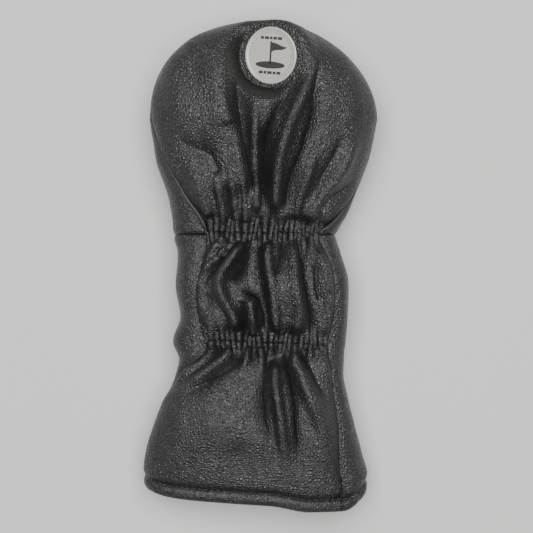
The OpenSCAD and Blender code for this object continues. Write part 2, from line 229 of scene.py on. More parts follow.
# ---- folds ----
# (height, width on the left, width on the right, points of the fold's line)
HEAD_FOLDS = [
    (-6.0, 3.5, 9.0, [
        (-15, 158), (-18, 141), (-18, 130), (-17, 112), (-14, 94), (-11, 76), (-7, 58), (-3, 40),
    ]),
    (2.2, 9.0, 4.0, [(-24, 150), (-27, 132), (-26, 112), (-22, 94)]),
    (-3.4, 7.0, 7.0, [(-60, 88), (-47, 80), (-35, 74), (-29, 60)]),
    (3.2, 4.0, 4.0, [(-50, 74), (-44, 60), (-40, 50), (-35, 32)]),
    (1.7, 2.5, 2.5, [(-32, 64), (-28, 46), (-25, 28)]),
    (1.4, 2.2, 2.2, [(-23, 70), (-19, 48), (-17, 28)]),
    (-1.6, 2.2, 2.2, [(-27, 62), (-23, 44), (-21, 28)]),
    (1.5, 2.0, 2.0, [(-13, 66), (-12, 48), (-11, 28)]),
    (3.4, 3.2, 3.0, [(-7, 124), (-5, 104), (-5, 88), (-5, 70), (-4, 58), (-3, 34)]),
    (-5.2, 3.0, 4.0, [
        (27, 136), (22, 125), (15, 113), (8, 103), (5, 96), (2, 87), (1, 70), (0, 50), (-1, 34),
    ]),
    (4.6, 4.0, 4.2, [
        (38, 150), (32, 128), (27, 116), (22, 105), (18, 95), (15, 86), (12, 76), (10, 66), (9, 52), (8, 34),
    ]),
    (-4.2, 3.0, 3.2, [
        (41, 146), (37, 130), (35, 115), (33, 100), (30, 90), (27, 80), (24, 72), (20, 62), (17, 50),
        (15, 34),
    ]),
    (-2.2, 4.0, 4.0, [(55, 92), (48, 72), (40, 58), (32, 38)]),
    (3.4, 4.0, 4.0, [(64, 94), (58, 76), (50, 62), (42, 50), (35, 40), (28, 28)]),
    (-3.2, 3.5, 4.0, [(63, 64), (55, 50), (45, 44), (38, 34)]),
    (2.0, 3.0, 3.0, [(38, 84), (31, 62), (26, 48), (22, 30)]),
]
MID_FOLDS = [
    (2.8, 2.4, 2.4, [(-24, 22), (-28, 17), (-33, 12), (-38, 6), (-43, -6)]),
    (2.2, 2.0, 2.0, [(-21, 17), (-28, 8), (-35, 2), (-41, -3)]),
    (-3.4, 3.0, 3.0, [(-25, 8), (-33, -2), (-38, -7), (-45, -13)]),
    (4.8, 3.0, 3.2, [
        (-12, 20), (-14, 15), (-18, 8), (-23, 2), (-27, -5), (-28.5, -12), (-26, -20), (-22, -27),
        (-19, -33), (-16, -46),
    ]),
    (-4.6, 2.6, 3.0, [(-9, 20), (-11, 8), (-14, 0), (-18, -6), (-22, -10)]),
    (-3.6, 2.2, 2.6, [(-16, -16), (-9, -19), (-4, -22), (-1, -27), (1, -34), (2, -46)]),
    (-3.0, 2.0, 2.0, [(-13, -22), (-13.5, -34), (-13, -47)]),
    (3.4, 4.0, 2.6, [(-8, -20), (-7, -30), (-6, -40), (-7, -48)]),
    (-4.2, 2.2, 2.6, [(1, 20), (-1, 13), (-1, 2), (1, -10), (2, -18), (3, -25), (4, -35), (5, -48)]),
    (3.4, 2.2, 4.0, [(8, 21), (5, 14), (3, 6), (4, -4), (6, -15), (7, -25), (8, -35), (10, -48)]),
    (-2.4, 2.0, 2.0, [(14, 20), (13, 8), (11, 0), (9, -8)]),
    (3.2, 4.0, 3.4, [(20, 20), (21, 5), (22, -8), (24, -20), (25, -30), (23, -40), (20, -48)]),
    (-4.8, 2.0, 2.2, [(25, 20), (26, 10), (28, 0), (29, -10), (31, -20), (33, -30), (34, -38), (33, -48)]),
    (3.0, 3.4, 4.0, [(31, 21), (36, 8), (42, -2), (44, -15), (45, -30), (43, -42), (41, -50)]),
    (-2.0, 2.0, 2.4, [(38, 18), (36, 4), (37, -12), (39, -26)]),
]
SKIRT_FOLDS = [
    (3.6, 3.0, 3.2, [(-32, -50), (-38, -55), (-45, -62), (-52, -70), (-60, -84)]),
    (-3.6, 2.4, 2.4, [(-26, -54), (-34, -61), (-43, -68), (-50, -74)]),
    (3.4, 3.2, 3.6, [(-19, -54), (-26, -62), (-34, -69), (-44, -77), (-60, -90)]),
    (-3.8, 4.4, 4.6, [(-15, -58), (-22, -67), (-31, -74), (-42, -80), (-62, -88)]),
    (2.4, 2.2, 2.2, [(-9, -54), (-11, -64), (-16, -74)]),
    (2.2, 1.9, 1.9, [(-1, -54), (0, -64), (0, -76)]),
    (-3.4, 3.0, 3.0, [(3, -56), (2, -70), (1, -85), (2, -100), (4, -112), (6, -130), (7, -144)]),
    (3.4, 2.8, 3.0, [(8, -62), (9, -80), (11, -95), (13, -110), (15, -126), (18, -150)]),
    (-4.8, 2.4, 3.0, [(14, -54), (17, -68), (20, -80), (22, -92), (23, -110), (24, -125), (27, -148)]),
    (4.4, 3.6, 6.5, [(17, -54), (20, -62), (25, -72), (30, -85), (34, -95), (39, -110), (45, -142)]),
    (-2.2, 3.2, 3.2, [(27, -54), (33, -68), (38, -80), (47, -97)]),
    (3.0, 3.4, 4.0, [(36, -54), (42, -64), (47, -75), (53, -92)]),
]
# (height, x, y, radius across, radius along) of broad swellings and hollows
SWELLS = [
    (3.0, -47, 116, 22, 30), (2.6, 54, 108, 16, 26), (-2.6, -37, -23, 6, 7), (2.6, -33, -38, 7, 9),
    (-3.6, -17, -6, 6, 8), (3.0, 16, -17, 10, 15), (-2.4, 31, 10, 4.5, 7), (3.6, -36, -106, 22, 28),
    (-3.0, -15, -134, 12, 18), (-3.0, 8, -60, 5, 7), (-2.2, -15, 46, 12, 8), (1.8, -60, -125, 12, 18),
    (1.6, 44, -120, 9, 22),
]
FOLD_GAIN = 1.3
# each group with the shares of a fold's line over which its two ends fade
FOLD_GROUPS = ((HEAD_FOLDS, (0.4, 0.12)), (MID_FOLDS, (0.14, 0.14)), (SKIRT_FOLDS, (0.1, 0.55)))


def fold(x, y, height, left, right, points, tapers=(0.14, 0.14)):
    """Height of one ridge or valley at plan points x, y: full along its line and tapering to its ends."""
    line = rounded_line(points)
    a, b = line[:-1], line[1:]
    reach = 2.6 * max(left, right)
    low, high = line.min(0) - reach, line.max(0) + reach
    near = (x > low[0]) & (x < high[0]) & (y > low[1]) & (y < high[1])
    out = np.zeros(x.shape)
    if not near.any():
        return out
    p = np.stack([x[near], y[near]], 1)
    best = np.full(len(p), 1e9)
    side = np.zeros(len(p))
    share = np.zeros(len(p))
    run = np.r_[0, np.cumsum(np.linalg.norm(b - a, axis=1))]
    for k in range(len(a)):
        d = b[k] - a[k]
        t = np.clip((p - a[k]) @ d / (d @ d), 0, 1)
        off = p - a[k] - t[:, None] * d
        dist = (off**2).sum(1)
        nearer = dist < best
        best[nearer] = dist[nearer]
        side[nearer] = off[nearer, 0]
        share[nearer] = (run[k] + t[nearer] * (run[k + 1] - run[k])) / run[-1]
    dist = np.sqrt(best)
    # the two sides meet smoothly at the ends of the line, where the nearest point is straight ahead
    blend = 0.5 + 0.5 * np.tanh(side / 1.2)
    width = left * (1 - blend) + right * blend
    taper = ease(share / tapers[0]) * ease((1 - share) / tapers[1])
    sharp = 1.9 if height > 0 else 1.35
    out[near] = height * taper * np.exp(-((dist / width) ** sharp)) * ease((reach - dist) / (0.3 * reach))
    return out


def creases(row_points, seed):
    """Short pleats of a gather: (x, slope above, slope below, reach above, reach below, depth, width)."""
    rng = np.random.default_rng(seed)
    return [
        (x, rng.uniform(-0.35, 0.35), rng.uniform(-0.35, 0.35), rng.uniform(7, 15), rng.uniform(7, 15),
         rng.uniform(1.6, 3.0), rng.uniform(0.85, 1.5))
        for x in row_points
    ]


UPPER_PLEATS = creases([
    -37, -33, -29, -25, -22, -19, -14, -9, -6.5, -3.5, 0, 4, 8, 11, 14, 18, 22, 24.5, 27, 30, 33, 36, 39.5,
], 3)
LOWER_PLEATS = creases([
    -37, -32, -28.5, -25, -21.5, -18, -13, -10, -7, -4, 0, 4, 8, 11, 14, 17, 20, 25, 28, 32, 34.5, 38, 42, 45,
], 8)


def gather(x, y, row, pleats):
    """A shirred row: a drawn-in band, puffs between its pleats, and pleats that fan out of it."""
    s = y - smooth(row, x)
    h = -2.4 * bell(s / 10)
    for x0, above, below, reach_up, reach_down, depth, width in pleats:
        d = x - x0 - s * np.where(s > 0, above, below)
        reach = np.where(s > 0, reach_up, reach_down)
        w = width * (0.75 + np.abs(s) / 8)
        h = h - depth * bell(s / reach) * np.exp(-np.abs(d / w) ** 1.6)
    tops = np.array([p[0] for p in pleats])
    middles = 0.5 * (tops[1:] + tops[:-1])
    for k, x0 in enumerate(middles):
        w = 0.34 * (tops[k + 1] - tops[k])
        lean = 0.5 * (pleats[k][1] + pleats[k + 1][1])
        d = x - x0 - s * lean
        h = h + 1.5 * np.exp(-((d / w) ** 2)) * bell((s - 2.5) / 5.5)
        h = h + 1.5 * np.exp(-((d / w) ** 2)) * bell((s + 3) / 6)
    return h - 1.1 * np.exp(-np.abs(s / 0.9) ** 1.7)


WAVES_SEED = 21


def waves(x, y):
    """Low slow unevenness, as in any soft panel that isn't stretched."""
    rng = np.random.default_rng(WAVES_SEED)
    h = np.zeros(x.shape)
    for _ in range(26):
        length, turn, phase = rng.uniform(9, 30), rng.uniform(0, math.pi), rng.uniform(0, 6.3)
        across_it = x * math.cos(turn) + 0.55 * y * math.sin(turn)
        h += 0.011 * length * np.sin(2 * math.pi * across_it / length + phase)
    return h


# ---- badge plane ----
BADGE = next(m for m in frame["record"]["mounts"] if m["name"] == "badge_face")
BADGE_N = np.array(BADGE["axis"], float)
BADGE_BOX = np.array(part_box("badge_patch")) / MM
BADGE_T = 1.6
BADGE_LIFT = 0.25
FLAT_REACH, FLAT_BLEND = 31, 11  # where the panel stops following the badge, and over how far
SLACK, SLACK_REACH, SLACK_BLEND = 4, 46, 12  # how much deeper the lining hangs round the badge
BADGE_AT = BADGE_BOX.mean(0) - BADGE_N * (BADGE_LIFT + BADGE_T / 2)


def badge_distance(points):
    """How far points are from the badge's middle, seen from above."""
    return np.hypot(points[..., 0] - BADGE_AT[0], points[..., 1] - BADGE_AT[1])


def badge_share(base):
    """How much of the panel lies flat under the badge, from 0 to 1."""
    return ease((FLAT_REACH - badge_distance(base)) / FLAT_BLEND)


def badge_height(points):
    """Height of the badge's underside plane over each point's place."""
    off = points - BADGE_AT
    return BADGE_AT[2] - (BADGE_N[0] * off[..., 0] + BADGE_N[1] * off[..., 1]) / BADGE_N[2]


def box_blur(h, radius, axis):
    """The mean of each cell's neighbours within radius cells along an axis."""
    pad = [(0, 0), (0, 0)]
    pad[axis] = (radius + 1, radius)
    c = np.cumsum(np.pad(h, pad, mode="edge"), axis=axis)
    size = 2 * radius + 1
    if axis == 0:
        return (c[size:] - c[:-size]) / size
    return (c[:, size:] - c[:, :-size]) / size


def back_relief(points, normals, seam_mm):
    """How far the back panel stands off the smooth form, in millimetres."""
    x, y = plan(points)
    up = ease((normals[..., 2] - 0.05) / 0.45)
    inside = ease(seam_mm / 7)
    h = waves(x, y) * 0.55
    for folds, tapers in FOLD_GROUPS:
        for f in folds:
            h += FOLD_GAIN * fold(x, y, *f, tapers)
    for height, cx, cy, rx, ry in SWELLS:
        h += height * bell(np.hypot((x - cx) / rx, (y - cy) / ry))
    h *= up * inside * (0.3 + 0.7 * ease((y + 152) / 40))
    rows = gather(x, y, ROW_UPPER, UPPER_PLEATS) + gather(x, y, ROW_LOWER, LOWER_PLEATS)
    return h + rows * ease((normals[..., 2] + 0.1) / 0.4) * (0.35 + 0.65 * ease(seam_mm / 4))


# ---- meshes ----
def grid_faces(rows, columns, wrap=False):
    """Quads of a grid of points. wrap joins the last column to the first."""
    i, j = np.meshgrid(np.arange(rows - 1), np.arange(columns if wrap else columns - 1), indexing="ij")
    p = (i * columns + j).ravel()
    q = (i * columns + (j + 1) % columns).ravel()
    return np.stack([p, p + columns, q + columns, q], 1)


def add_mesh(name, verts_mm, faces, material, flat=False):
    mesh = bpy.data.meshes.new(name)
    verts = np.asarray(verts_mm, float).reshape(-1, 3) * MM
    if isinstance(faces, np.ndarray):
        mesh.vertices.add(len(verts))
        mesh.vertices.foreach_set("co", verts.astype(np.float32).ravel())
        mesh.loops.add(faces.size)
        mesh.loops.foreach_set("vertex_index", faces.astype(np.int32).ravel())
        mesh.polygons.add(len(faces))
        mesh.polygons.foreach_set("loop_start", np.arange(0, faces.size, faces.shape[1], dtype=np.int32))
        mesh.update(calc_edges=True)
    else:
        mesh.from_pydata(verts.tolist(), [], faces)
    mesh.validate()
    if not flat:
        mesh.shade_smooth()
    mesh.materials.append(material)
    piece = bpy.data.objects.new(name, mesh)
    bpy.context.scene.collection.objects.link(piece)
    return piece


def thicken(piece, mm):
    """Gives a sheet its thickness, inwards from its outer face."""
    m = piece.modifiers.new("thickness", "SOLIDIFY")
    m.thickness = mm * MM
    m.offset = -1
    m.use_even_offset = False
    return piece


def claim(piece, slot, *nodes):
    """Ties a piece to the body and hides the CAD nodes that it stands for. The slot argument is not used."""
    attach(piece, "root")
    if nodes:
        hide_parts(*nodes)
    return piece


def tube(path, normals, radius, sides=12, squash=1.0):
    """Points and faces of a tube, open at both ends. normals give the tube's up direction."""
    path = np.asarray(path, float)
    t = unit(np.gradient(path, axis=0))
    side = unit(np.cross(normals, t))
    up = np.cross(t, side)
    turn = 2 * np.pi * np.arange(sides) / sides
    r = np.broadcast_to(np.asarray(radius, float), (len(path),))[:, None, None]
    cos, sin = np.cos(turn)[None, :, None], np.sin(turn)[None, :, None]
    ring = path[:, None] + r * (cos * side[:, None] + squash * sin * up[:, None])
    faces = grid_faces(len(path), sides, wrap=True)
    return ring.reshape(-1, 3), faces[:, ::-1]


class Pile:
    """Collects many small meshes into one piece."""

    def __init__(self):
        self.verts, self.faces, self.count = [], [], 0

    def add(self, verts, faces):
        self.verts.append(np.asarray(verts).reshape(-1, 3))
        self.faces.append(np.asarray(faces) + self.count)
        self.count += len(self.verts[-1])

    def piece(self, name, material):
        return add_mesh(name, np.concatenate(self.verts), np.concatenate(self.faces), material)


STITCH_ENDS = [0.0, 0.55, 0.85, 1.0, 1.0, 0.85, 0.55, 0.0]


def stitches(name, line, normals, material, length=2.7, gap=1.1, radius=0.32, sink=0.25):
    """A row of stitches along a line on a surface, each with ends that dive into it."""
    run = np.r_[0, np.cumsum(np.linalg.norm(np.diff(line, axis=0), axis=1))]
    count = max(1, int(run[-1] / (length + gap)))
    pile = Pile()
    for k in range(count):
        start = (k + 0.5 * gap / (length + gap)) * run[-1] / count
        at = start + np.linspace(0, length, len(STITCH_ENDS))
        p = np.stack([np.interp(at, run, line[:, c]) for c in range(3)], 1)
        n = unit(np.stack([np.interp(at, run, normals[:, c]) for c in range(3)], 1))
        lift = (np.array(STITCH_ENDS) - 1) * 1.6 * sink + 0.15
        pile.add(*tube(p + n * lift[:, None], n, radius * (0.45 + 0.55 * np.array(STITCH_ENDS)), sides=8))
    return pile.piece(name, material)


# ---- materials ----
class Nodes:
    """Short calls for building one material's nodes."""

    def __init__(self, name):
        self.mat = bpy.data.materials.new(name)
        self.mat.use_nodes = True
        self.tree = self.mat.node_tree
        self.shader = self.tree.nodes["Principled BSDF"]
        self.place = self.new("ShaderNodeTexCoord").outputs["Object"]

    def new(self, kind, **settings):
        node = self.tree.nodes.new(kind)
        for key, value in settings.items():
            setattr(node, key, value)
        return node

    def put(self, value, socket):
        if hasattr(value, "is_linked") or hasattr(value, "links"):
            self.tree.links.new(value, socket)
        else:
            socket.default_value = value

    def math(self, op, a, b=0.0, clamp=False):
        node = self.new("ShaderNodeMath", operation=op, use_clamp=clamp)
        self.put(a, node.inputs[0])
        self.put(b, node.inputs[1])
        return node.outputs[0]

    def noise(self, scale, detail=2.0, rough=0.5, vector=None):
        node = self.new("ShaderNodeTexNoise")
        self.put(vector or self.place, node.inputs["Vector"])
        node.inputs["Scale"].default_value = scale
        node.inputs["Detail"].default_value = detail
        node.inputs["Roughness"].default_value = rough
        return node.outputs["Fac"]

    def cells(self, scale, feature="F1", vector=None, randomness=1.0):
        node = self.new("ShaderNodeTexVoronoi", feature=feature)
        self.put(vector or self.place, node.inputs["Vector"])
        node.inputs["Scale"].default_value = scale
        node.inputs["Randomness"].default_value = randomness
        return node.outputs["Distance"]

    def wave(self, scale, distortion=0.0, direction="X", vector=None, detail=2.0):
        node = self.new("ShaderNodeTexWave", bands_direction=direction)
        self.put(vector or self.place, node.inputs["Vector"])
        node.inputs["Scale"].default_value = scale
        node.inputs["Distortion"].default_value = distortion
        node.inputs["Detail"].default_value = detail
        return node.outputs["Fac"]

    def warped(self, scale, amount):
        """The place, pushed about by a noise."""
        noise = self.new("ShaderNodeTexNoise")
        self.put(self.place, noise.inputs["Vector"])
        noise.inputs["Scale"].default_value = scale
        mix = self.new("ShaderNodeVectorMath", operation="MULTIPLY_ADD")
        self.put(noise.outputs["Color"], mix.inputs[0])
        mix.inputs[1].default_value = (amount,) * 3
        self.put(self.place, mix.inputs[2])
        return mix.outputs[0]

    def span(self, value, low, high, to_low=0.0, to_high=1.0, soft=True):
        node = self.new("ShaderNodeMapRange", interpolation_type="SMOOTHSTEP" if soft else "LINEAR")
        self.put(value, node.inputs["Value"])
        for key, number in (("From Min", low), ("From Max", high), ("To Min", to_low), ("To Max", to_high)):
            node.inputs[key].default_value = number
        return node.outputs["Result"]

    def mix(self, share, a, b):
        node = self.new("ShaderNodeMix", data_type="RGBA")
        self.put(share, node.inputs["Factor"])
        for value, socket in ((a, node.inputs[6]), (b, node.inputs[7])):
            self.put(value if hasattr(value, "links") else (*value, 1.0), socket)
        return node.outputs[2]

    def bump(self, height, distance, strength=1.0, below=None):
        node = self.new("ShaderNodeBump")
        self.put(height, node.inputs["Height"])
        node.inputs["Distance"].default_value = distance
        node.inputs["Strength"].default_value = strength
        if below:
            self.put(below, node.inputs["Normal"])
        return node.outputs["Normal"]

    def set(self, **values):
        for key, value in values.items():
            socket = self.shader.inputs[key.replace("_", " ").title().replace("Ior", "IOR")]
            if isinstance(value, tuple):
                value = (*value, 1.0)
            self.put(value, socket)
        return self.mat


def pebbled_leather(name, cell_mm, tone, top_wear_and_highlight, height_mm, roughness=(0.3, 0.6)):
    """Pebble-grained coated leather: domed cells of two sizes, creases between them with painted shade, and a
    fine skin.
    """
    n = Nodes(name)
    place = n.warped(160, 0.0011)
    big = n.span(n.cells(1000 / cell_mm, "DISTANCE_TO_EDGE", place), 0.0, 0.42)
    small = n.span(n.cells(1000 / (0.52 * cell_mm), "DISTANCE_TO_EDGE", place), 0.0, 0.36)
    patch = n.span(n.noise(45, 3), 0.38, 0.62)
    fine = n.noise(5200, 3, 0.6)
    height = n.math("ADD", n.math("MULTIPLY", big, 0.8), n.math("MULTIPLY", small, 0.3))
    height = n.math("ADD", height, n.math("MULTIPLY", fine, 0.16))
    creased = n.span(height, 0.12, 0.6)
    # Painted shade: the creases between the pebbles are darkened to a fifth of the leather's tone.
    colour = n.mix(creased, tuple(0.2 * c for c in tone), tone)
    # The highest pebble tops take a lighter colour in patches: partly rubbed wear and partly a painted
    # highlight.
    colour = n.mix(n.math("MULTIPLY", n.span(height, 0.8, 1.15), n.span(patch, 0, 1, 0.4, 1)), colour, top_wear_and_highlight)
    rough = n.span(creased, 0, 1, roughness[1], roughness[0], soft=False)
    rough = n.math("ADD", rough, n.math("MULTIPLY", patch, 0.06))
    return n.set(
        base_color=colour, roughness=rough, specular_ior_level=0.8,
        normal=n.bump(height, height_mm * MM, 1.0, n.bump(n.noise(320, 3), 0.0006, 0.35)),
    )


def smooth_leather(name, tone, roughness=0.34):
    n = Nodes(name)
    grain = n.cells(1500, "DISTANCE_TO_EDGE", n.warped(300, 0.0006))
    height = n.math("ADD", n.span(grain, 0, 0.2), n.math("MULTIPLY", n.noise(4200, 3), 0.3))
    # Painted shade: the creases of the grain are darkened to half the tone.
    colour = n.mix(n.span(height, 0.1, 0.9), tuple(0.5 * c for c in tone), tone)
    rough = n.span(n.noise(260, 3), 0.3, 0.7, roughness, roughness + 0.14)
    return n.set(base_color=colour, roughness=rough, normal=n.bump(height, 0.00007))


def spun_thread(name, tone):
    n = Nodes(name)
    twist = n.wave(950, 3.0, "DIAGONAL")
    fuzz = n.noise(6000, 2)
    # Painted shade: the grooves of the twist are darkened to 0.55 of the tone.
    colour = n.mix(twist, tuple(0.55 * c for c in tone), tone)
    return n.set(
        base_color=colour, roughness=n.span(fuzz, 0.3, 0.7, 0.55, 0.75), sheen_weight=0.3,
        normal=n.bump(n.math("ADD", twist, n.math("MULTIPLY", fuzz, 0.4)), 0.00012),
    )


def plush(name, tone):
    """Short dense pile: clumps, a nap that catches light, and painted shade at the roots."""
    n = Nodes(name)
    place = n.warped(220, 0.003)
    clumps = n.noise(240, 3, 0.6, place)
    tips = n.cells(1500, "F1", place)
    height = n.math("ADD", n.math("MULTIPLY", clumps, 1.4), n.math("SUBTRACT", 0.7, tips))
    # Painted shade: the low parts of the pile are darkened to 0.3 of the tone.
    colour = n.mix(n.span(height, 0.5, 1.5), tuple(0.3 * c for c in tone), tone)
    return n.set(
        base_color=colour, roughness=n.span(clumps, 0.3, 0.7, 0.82, 0.96), sheen_weight=0.6,
        sheen_roughness=0.45, normal=n.bump(height, 0.0011, 0.9),
    )


def foam(name, tone):
    n = Nodes(name)
    pores = n.span(n.cells(1700), 0.15, 0.55)
    # Painted shade: the pores are darkened to 0.45 of the tone.
    colour = n.mix(pores, tuple(0.45 * c for c in tone), tone)
    return n.set(base_color=colour, roughness=n.span(pores, 0, 1, 0.95, 0.82), normal=n.bump(pores, 0.0003))


def weave(name, tone, pitch_mm, roughness=0.8, sheen=0.2):
    """Plain weave, from two crossed waves."""
    n = Nodes(name)
    scale = 1000 / pitch_mm / 6.28 * 3.14
    warp, weft = n.wave(scale, 0.6, "X"), n.wave(scale, 0.6, "Y")
    height = n.math("MAXIMUM", warp, weft)
    height = n.math("ADD", height, n.math("MULTIPLY", n.noise(3500, 2), 0.35))
    # Painted shade: the gaps between the threads are darkened to half the tone.
    colour = n.mix(n.span(height, 0.4, 1.2), tuple(0.5 * c for c in tone), tone)
    return n.set(
        base_color=colour, roughness=n.span(height, 0.3, 1.2, min(1, roughness + 0.12), roughness),
        sheen_weight=sheen, normal=n.bump(height, 0.2 * pitch_mm * MM),
    )


def badge_skin(name, tone, shade):
    """Satin silver-cream coating with a faint orange-peel and handling marks."""
    n = Nodes(name)
    peel = n.noise(900, 3, 0.6)
    marks = n.span(n.noise(70, 4, 0.7), 0.45, 0.75)
    grain = n.cells(2600)
    colour = n.mix(n.math("MULTIPLY", marks, 0.5), tone, shade)
    colour = n.mix(n.span(peel, 0.35, 0.75, 0, 0.35), colour, shade)
    return n.set(
        base_color=colour, metallic=0.25, roughness=n.span(peel, 0.3, 0.7, 0.34, 0.52),
        normal=n.bump(n.math("ADD", peel, n.math("MULTIPLY", grain, 0.5)), 0.00006),
    )


def ink(name, tone):
    n = Nodes(name)
    spots = n.noise(2600, 3)
    colour = n.mix(n.span(spots, 0.35, 0.7), tone, tuple(2.2 * c for c in tone))
    rough = n.span(spots, 0.3, 0.7, 0.4, 0.6)
    return n.set(base_color=colour, roughness=rough, normal=n.bump(spots, 0.00004))


def plated_metal(name, tone, roughness):
    n = Nodes(name)
    lines = n.noise(1400, 4, 0.65)
    spots = n.noise(180, 3)
    colour = n.mix(n.span(spots, 0.4, 0.75, 0, 0.6), tone, tuple(0.8 * c for c in tone))
    return n.set(
        base_color=colour, metallic=1.0, roughness=n.span(lines, 0.3, 0.7, roughness, roughness + 0.15),
        normal=n.bump(lines, 0.00003),
    )


def studio_floor(name, tone):
    n = Nodes(name)
    spots = n.noise(14, 4)
    colour = n.mix(spots, tone, tuple(0.97 * c for c in tone))
    return n.set(base_color=colour, roughness=0.85)


# The fourth value of each leather is the lighter colour of its pebble tops: partly rubbed wear, partly a
# painted highlight.
LEATHER = pebbled_leather("pebbled_leather", 1.9, (0.006, 0.0058, 0.0058), (0.03, 0.0285, 0.027), 0.4)
HEM_LEATHER = pebbled_leather("hem_leather", 1.7, (0.006, 0.0058, 0.0058), (0.026, 0.025, 0.024), 0.3)
PIPING_LEATHER = smooth_leather("piping_leather", (0.02, 0.0195, 0.019))
THREAD = spun_thread("black_thread", (0.02, 0.02, 0.02))
BADGE_THREAD = spun_thread("badge_thread", (0.30, 0.29, 0.265))
PLUSH = plush("plush_lining", (0.032, 0.032, 0.035))
FOAM = foam("foam", (0.09, 0.09, 0.095))
ELASTIC = weave("elastic_weave", (0.035, 0.034, 0.032), 0.9)
CORD = spun_thread("cord", (0.4, 0.38, 0.33))
BADGE_SKIN = badge_skin("badge_skin", (0.5, 0.485, 0.44), (0.36, 0.35, 0.32))
INK = ink("badge_ink", (0.018, 0.018, 0.018))
MAGNET = plated_metal("magnet_plating", (0.62, 0.62, 0.63), 0.16)
PLATE = plated_metal("plate_steel", (0.5, 0.5, 0.51), 0.36)
POCKET = weave("pocket_cloth", (0.03, 0.03, 0.033), 0.5)
LABEL = weave("label_cloth", (0.62, 0.61, 0.57), 0.35, 0.45, 0.5)


# ---- panels ----
def seam_distance(points):
    """Millimetres from each point of a grid to the nearer end of its row."""
    steps = np.linalg.norm(np.diff(points, axis=1), axis=2)
    run = np.concatenate([np.zeros((len(points), 1)), np.cumsum(steps, axis=1)], 1)
    return np.minimum(run, run[:, -1:] - run)


ROLL_IN = [(0.5, 0.45), (1.1, 1.5)]  # (further towards the seam, deeper) steps of a panel's turned-in edge


def turned_in(points, normals):
    """Adds columns that roll the panel's side edges down into the seam."""
    def edge(at, towards):
        d = unit(points[:, at] - points[:, towards])
        return [points[:, at] + d * out - normals[:, at] * down for out, down in ROLL_IN]
    left, right = edge(0, 1), edge(-1, -2)
    return np.concatenate([np.stack(left[::-1], 1), points, np.stack(right, 1)], 1)


PANEL_Y = MOUTH_Y + 8.6  # the panels' lower edges, in the hem's groove


def sink_at_hem(y):
    return -1.7 * bell((y - PANEL_Y) / 2.6)[:, None]


def panel_points(back, y, q, columns):
    right, left = seams(y, q)
    start, end = (right, left) if back else (left, right + 360)
    return across(y, q, start, end, columns, 1.2)


def sink_at_seams(y, q, distance):
    """The seams pull the panels in a little on both sides."""
    deep = 1.9 - 1.1 * ease((y - SHIFT[1] - 30) / 20)
    return -deep[:, None] * np.exp(-((distance / 3.2) ** 1.5))


def lowest_near(h, reach):
    """The lowest value within reach cells of each cell, smoothed."""
    for axis in (0, 1):
        pad = [(0, 0), (0, 0)]
        pad[axis] = (reach, reach)
        wide = np.pad(h, pad, mode="edge")
        h = np.min([np.take(wide, range(k, k + h.shape[axis]), axis) for k in range(2 * reach + 1)], axis=0)
    return box_blur(box_blur(h, reach, 0), reach, 1)


def back_face(y, q, columns, under=0.0, under_badge=0.0):
    """Points of the back panel's outer face, or of a smoother sheet that keeps under millimetres below it."""
    base = panel_points(True, y, q, columns)
    base_n = normals_of(base)
    mm = seam_distance(base)
    relief = back_relief(base, base_n, mm) + sink_at_seams(y, q, mm) + sink_at_hem(y)
    if under:
        slack = SLACK * ease((SLACK_REACH - badge_distance(base)) / SLACK_BLEND)
        relief = lowest_near(relief, 3) - under - slack
    points = base + base_n * relief[..., None]
    share = badge_share(base) * ease((base_n[..., 2] - 0.08) / 0.25)
    points[..., 2] += share * (badge_height(points) - under_badge / BADGE_N[2] - points[..., 2])
    points[..., 2] = np.maximum(points[..., 2], under)
    return points


class Back:
    """The finished outer face of the back panel, kept for the pieces that lie on it."""

    y, q = stations(PANEL_Y, True, 0.98, 1.9)
    points = back_face(y, q, 210)
    normals = normals_of(points)


def back_panel():
    grid = turned_in(Back.points, Back.normals)
    piece = add_mesh("back_panel_skin", grid, grid_faces(*grid.shape[:2])[:, ::-1], LEATHER)
    thicken(piece, 1.1)
    return claim(piece, "leather", "back_panel")


def front_relief(points, normals, y, q, mm, seam_y):
    x, py = plan(points)
    rows = sum(bell((points[..., 1] - SHIFT[1] - r) / 9) for r in (22.8, -51.5))
    near = np.exp(-((mm / 12) ** 1.6))
    h = 0.35 * waves(x + 400, py) * ease(mm / 6) - 1.3 * rows * near
    s = points[..., 1] - seam_y
    h = h - 0.9 * np.exp(-np.abs(s / 1.6) ** 1.5) + 0.3 * bell((np.abs(s) - 4) / 2.5)
    return h + sink_at_seams(y, q, mm) + sink_at_hem(y)


CROSS_SEAM_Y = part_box("front_neck_panel")[1][1] / MM


def front_panel(name, y, q, slot, node):
    base = panel_points(False, y, q, 150)
    n = normals_of(base)
    mm = seam_distance(base)
    h = front_relief(base, n, y, q, mm, CROSS_SEAM_Y)
    points = base + n * h[..., None]
    points[..., 2] = np.maximum(points[..., 2], 0.02)
    grid = turned_in(points, normals_of(points))
    piece = add_mesh(name, grid, grid_faces(*grid.shape[:2])[:, ::-1], LEATHER)
    thicken(piece, 1.1)
    return claim(piece, slot, node), points


def front_panels():
    y, q = stations(CROSS_SEAM_Y + 0.35, True, 1.5)
    crown, crown_points = front_panel("front_crown_skin", y, q, "leather", "front_crown_panel")
    y, q = stations(PANEL_Y, False, 1.5)
    y = PANEL_Y + (y - PANEL_Y) * (CROSS_SEAM_Y - 0.35 - PANEL_Y) / (HEAD_Y - PANEL_Y)
    neck, _ = front_panel("front_neck_skin", y, q, "leather", "front_neck_panel")
    return crown_points


